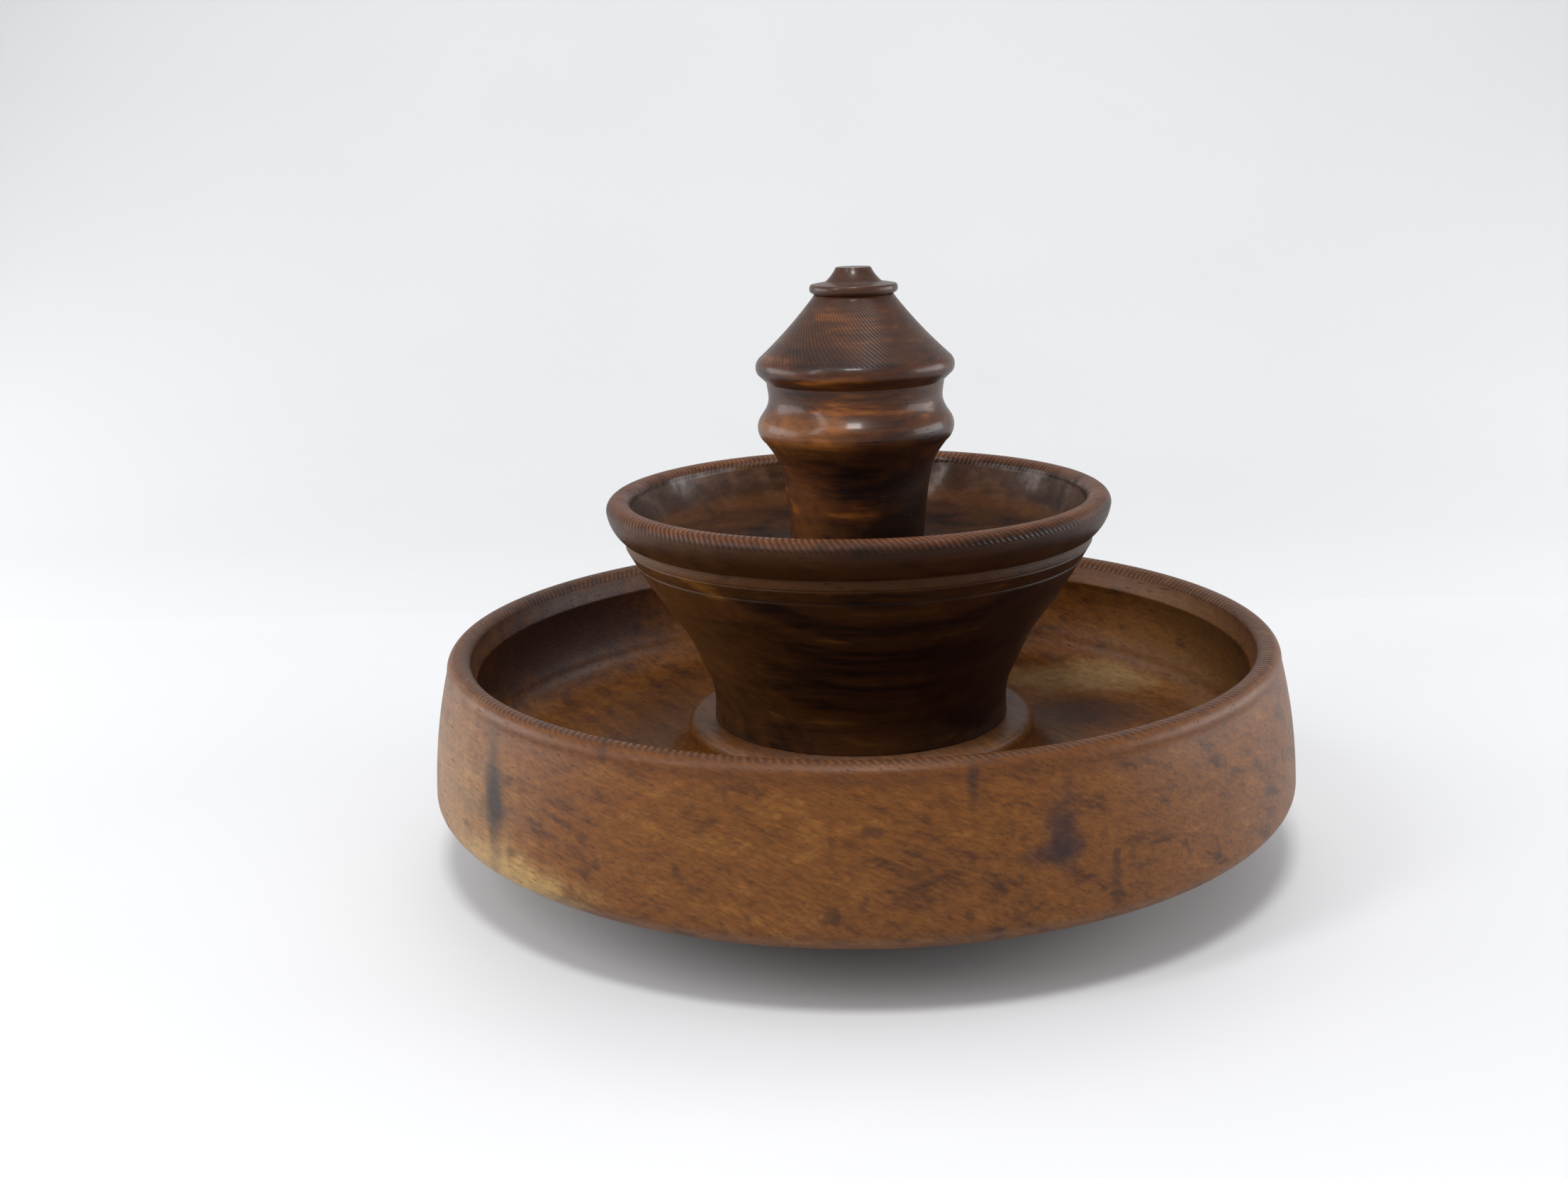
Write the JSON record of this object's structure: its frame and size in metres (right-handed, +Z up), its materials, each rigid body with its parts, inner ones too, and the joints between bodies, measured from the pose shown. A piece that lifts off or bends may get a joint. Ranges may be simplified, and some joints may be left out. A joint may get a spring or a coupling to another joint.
{
  "type": "two-tier revolving dish",
  "caption": "Turned wooden serving dish: a deep round lower dish revolving on a small foot, a pedestal bowl on its centre boss and a ridged finial handle on top.",
  "frame": {"origin": "centre of the foot's underside, on the surface that the dish stands on", "axes": "+Z up along the turning axis, from the foot to the finial; X and Y are equal by symmetry"},
  "size_m": [0.255, 0.255, 0.172],
  "materials": {
    "dish_wood": "waxed satin, open pores",
    "bowl_wood": "waxed satin, dark streaks",
    "finial_wood": "waxed satin, dark streaks",
    "foot_wood": "dark stained, satin",
    "dowel_wood": "plain beech",
    "felt": "pressed wool felt",
    "zinc_steel": "zinc plated",
    "race_steel": "ground",
    "ball_steel": "polished",
    "brass": "turned",
    "cage_nylon": "moulded nylon"
  },
  "bodies": {
    "foot": {"base_disc": "foot_wood", "base_felt": "felt", "pivot_bush": "brass", "lower_race": "race_steel", "lower_race_screws": "zinc_steel"},
    "race_cage": {"ball_cage": "cage_nylon", "bearing_balls": "ball_steel"},
    "dish_set": {"upper_race": "race_steel", "upper_race_screws": "zinc_steel", "dish": "dish_wood", "pedestal_bowl": "bowl_wood", "locating_dowels": "dowel_wood", "finial": "finial_wood", "finial_cap": "finial_wood", "finial_insert": "brass", "tie_rod": "zinc_steel", "clamp_washer": "zinc_steel", "clamp_nut": "zinc_steel", "keeper_washer": "zinc_steel", "keeper_nut": "zinc_steel"}
  },
  "joints": [
    {"name": "dish_spin", "type": "hinge", "parent": "foot", "child": "dish_set", "pos_m": [0, 0, 0.0123], "axis": [0, 0, 1], "continuous": true},
    {"name": "cage_spin", "type": "hinge", "parent": "foot", "child": "race_cage", "pos_m": [0, 0, 0.0123], "axis": [0, 0, 1], "continuous": true}
  ],
  "couplings": [
    {"joint": "cage_spin", "follows": "dish_spin", "ratio": 0.5}
  ]
}
